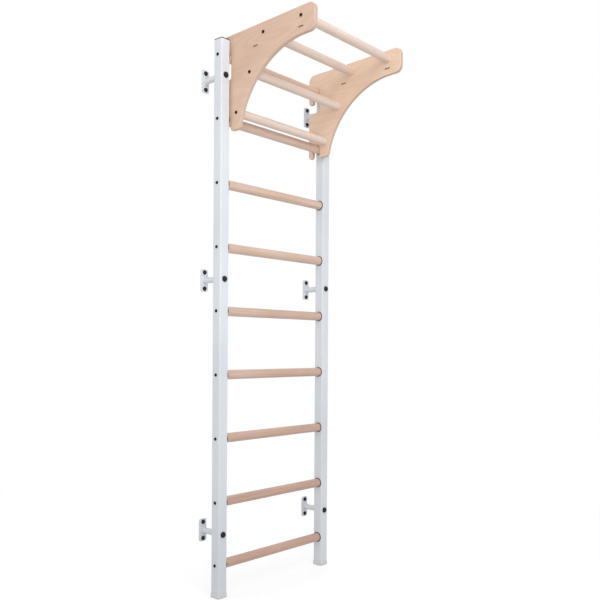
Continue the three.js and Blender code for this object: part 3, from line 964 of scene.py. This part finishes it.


# Pull-up bars
# Four beech dowels between the panels, of the same make as the rungs but coloured paler. Their ends butt
# against the panels.
bar_pale = (239, 223, 211)
bar_mid = (231, 210, 195)
bar_warm = (218, 192, 174)
bar_tone = (0.98, 0.98, 0.99)
bar_numbers = range(1, 5)
first_bar_seed = 20
bar_beech = lacquered_beech("bar_beech", bar_pale, bar_mid, bar_warm)
for number in bar_numbers:
    bar = dowel_like(f"pull_up_bar_{number}", first_bar_seed + number, bar_tone, bar_beech)
    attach(bar, "pull_up_frame")
    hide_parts(f"pull_up_bar_{number}")


# Panel bolts
# A blackened bolt with a hexagon socket goes through the panel into each end of a bar. Its low domed head
# lies on the plywood.
panel_bolt_diameter = 0.013
panel_bolt_height = 0.004
panel_bolt_rim = 0.0008
panel_bolt_key = 0.005
panel_bolt_socket = 0.0024
panel_bolt_shank = 0.008
panel_bolt_length = 0.05
panel_bolt = key_screw(
    "panel_bolt",
    panel_bolt_diameter,
    panel_bolt_height,
    panel_bolt_rim,
    panel_bolt_key,
    panel_bolt_socket,
    panel_bolt_shank,
    panel_bolt_length,
)
panel_bolt_places = []
for sign in sides.values():
    for number in bar_numbers:
        axis = middle(f"pull_up_bar_{number}")
        panel_bolt_places.append((sign * panel_high.x, axis.y, axis.z))
panel_bolts = fixings("panel_bolts", panel_bolt, panel_bolt_places, (1, 0, 0), blackened_steel)
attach(panel_bolts, "pull_up_frame")
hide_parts(*[f"{side}_panel_bolt_{number}" for side in sides for number in bar_numbers])


# Floor and light
# A plain pale floor that keeps the object's shadow and fades to white away from it, in an even white room. A
# wide soft light from the left and a small one from low in front brighten the upper half.
floor_half = 30.0
floor_drop = 0.0006
floor_pale = (212, 213, 215)
floor_speckle = (216, 217, 218)
floor_speckle_scale = 140.0
floor_own_light = 0.43
shadow_reach = (0.9, 2.6)
room_light = 0.765


def looked_at(tree):
    """One for what the camera sees, also in a gloss, and nothing for the light that falls on the object."""
    rays = add_node(tree, "ShaderNodeLightPath").outputs
    passed_on = worked(tree, "MAXIMUM", rays["Is Glossy Ray"], rays["Is Transmission Ray"])
    return worked(tree, "MAXIMUM", rays["Is Camera Ray"], passed_on)


floor_mesh = bpy.data.meshes.new("floor")
corners = [(x * floor_half, y * floor_half, -floor_drop) for x, y in ((-1, -1), (1, -1), (1, 1), (-1, 1))]
floor_mesh.from_pydata(corners, [], [(0, 1, 2, 3)])
floor = new_piece("floor", floor_mesh)
floor_finish, tree, shader = new_finish("pale_floor", Roughness=0.7, Specular_IOR_Level=0.2)
place = add_node(tree, "ShaderNodeTexCoord").outputs["Object"]
speckle = noise(tree, place, floor_speckle_scale, detail=3.0)
speckle = graded(tree, speckle, (0.3, floor_pale), (0.7, floor_speckle))
tree.links.new(speckle, shader.inputs["Base Color"])
seen = looked_at(tree)
glow = add_node(tree, "ShaderNodeEmission", {"Strength": worked(tree, "MULTIPLY", seen, floor_own_light)})
lit = add_node(tree, "ShaderNodeAddShader", {0: shader.outputs[0], 1: glow.outputs[0]})
white = add_node(tree, "ShaderNodeEmission", {"Strength": seen})
away = add_node(tree, "ShaderNodeVectorMath", {0: place}, operation="LENGTH").outputs["Value"]
away = worked(tree, "MULTIPLY", ranged(tree, away, *shadow_reach, 0.0, 1.0), seen)
faded = add_node(tree, "ShaderNodeMixShader", {0: away, 1: lit.outputs[0], 2: white.outputs[0]})
tree.links.new(faded.outputs[0], tree.nodes["Material Output"].inputs["Surface"])
floor.data.materials.append(floor_finish)
floor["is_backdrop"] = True


def soft_light(name, place, aim, size, power, spread):
    """A square soft light at a place, aimed at a point, with a grid that keeps its light within an angle."""
    lamp = bpy.data.lights.new(name, "AREA")
    lamp.shape = "SQUARE"
    lamp.size = size
    lamp.energy = power
    lamp.spread = math.radians(spread)
    holder = bpy.data.objects.new(name, lamp)
    holder.location = place
    holder.rotation_euler = (Vector(aim) - Vector(place)).to_track_quat("-Z", "Y").to_euler()
    bpy.context.scene.collection.objects.link(holder)


soft_light(
    "side_softbox", place=(-2.0, -3.3, 3.3), aim=(0.0, -0.1, 2.0), size=3.0, power=29.0, spread=120
)
soft_light(
    "low_softbox", place=(-2.4, -2.6, 0.7), aim=(0.0, -0.2, 2.1), size=1.2, power=4.0, spread=60
)

world = bpy.data.worlds.new("white_room")
bpy.context.scene.world = world
world.use_nodes = True
tree = world.node_tree
room = tree.nodes["Background"]
room.inputs["Color"].default_value = (1.0, 1.0, 1.0, 1.0)
tree.links.new(ranged(tree, looked_at(tree), 0.0, 1.0, room_light, 1.0), room.inputs["Strength"])
bpy.context.scene.view_settings.view_transform = "Standard"


# Sizes
# The box of the dressed model, in metres.
low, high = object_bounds()
